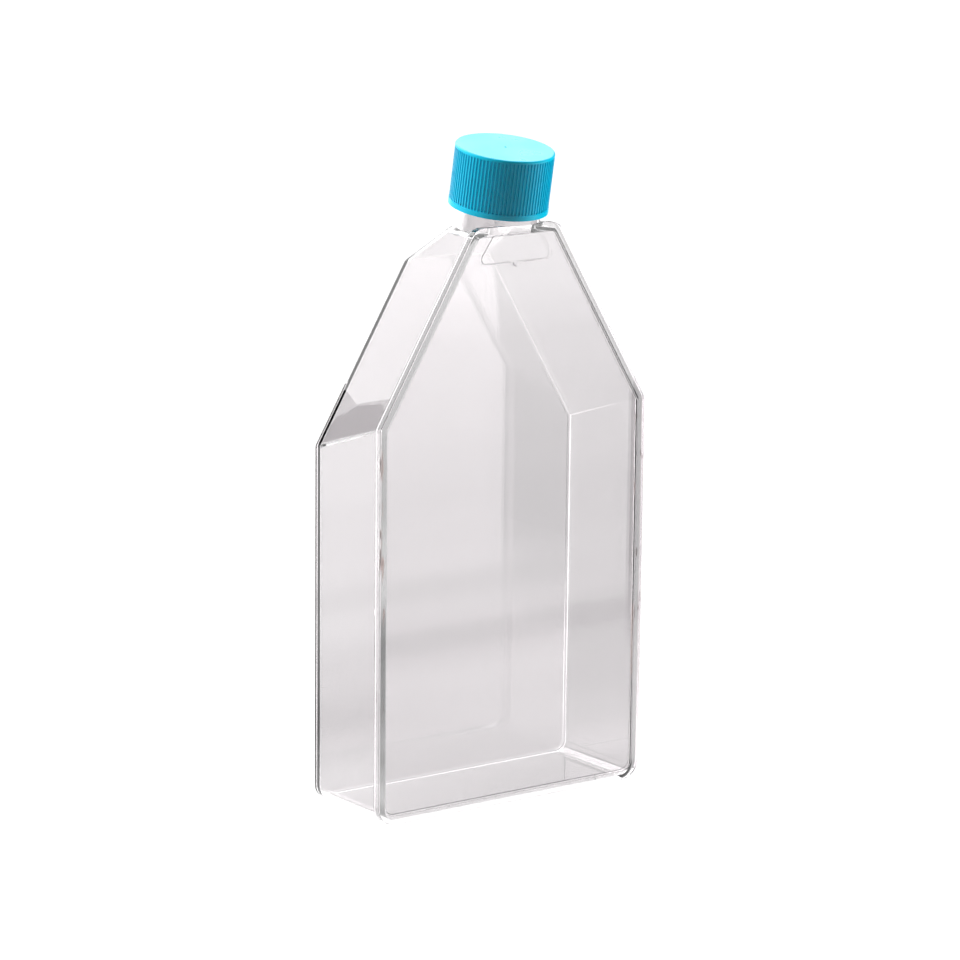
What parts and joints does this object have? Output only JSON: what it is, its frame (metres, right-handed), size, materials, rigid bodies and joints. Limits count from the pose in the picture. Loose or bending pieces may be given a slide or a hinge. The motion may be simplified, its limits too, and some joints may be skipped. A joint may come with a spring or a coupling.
{
  "type": "cell culture flask",
  "caption": "Clear flat culture flask with tilted shoulders, a pouring ramp, a welded lid and a canted neck under a ribbed screw cap.",
  "frame": {"origin": "middle of the base, on the surface that the flask stands on", "axes": "+Z from the base to the neck, +X across the width, -Y towards the lid that the neck leans to and +Y towards the growth plate"},
  "size_m": [0.113, 0.0501, 0.2317],
  "materials": {
    "clear_tray": "clear polished polystyrene",
    "clear_lid": "clear polished polystyrene",
    "liner": "soft white foamed polyethylene",
    "cap": "satin turquoise polyethylene"
  },
  "bodies": {
    "flask": {"flask_body": "clear_tray", "top_plate": "clear_lid"},
    "liner": {"cap_liner": "liner"},
    "cap": {"screw_cap": "cap"}
  },
  "joints": [
    {"name": "cap_lift", "type": "slide", "parent": "flask", "child": "liner", "axis": [0, -0.1805, 0.9836], "range_m": [0, 0.00701]},
    {"name": "cap_turn", "type": "hinge", "parent": "liner", "child": "cap", "pos_m": [0, -0.0082, 0.203], "axis": [0, -0.1805, 0.9836], "range_deg": [0, 630]}
  ],
  "couplings": [
    {"joint": "cap_lift", "follows": "cap_turn", "m_per_rad": 0.00063662}
  ]
}
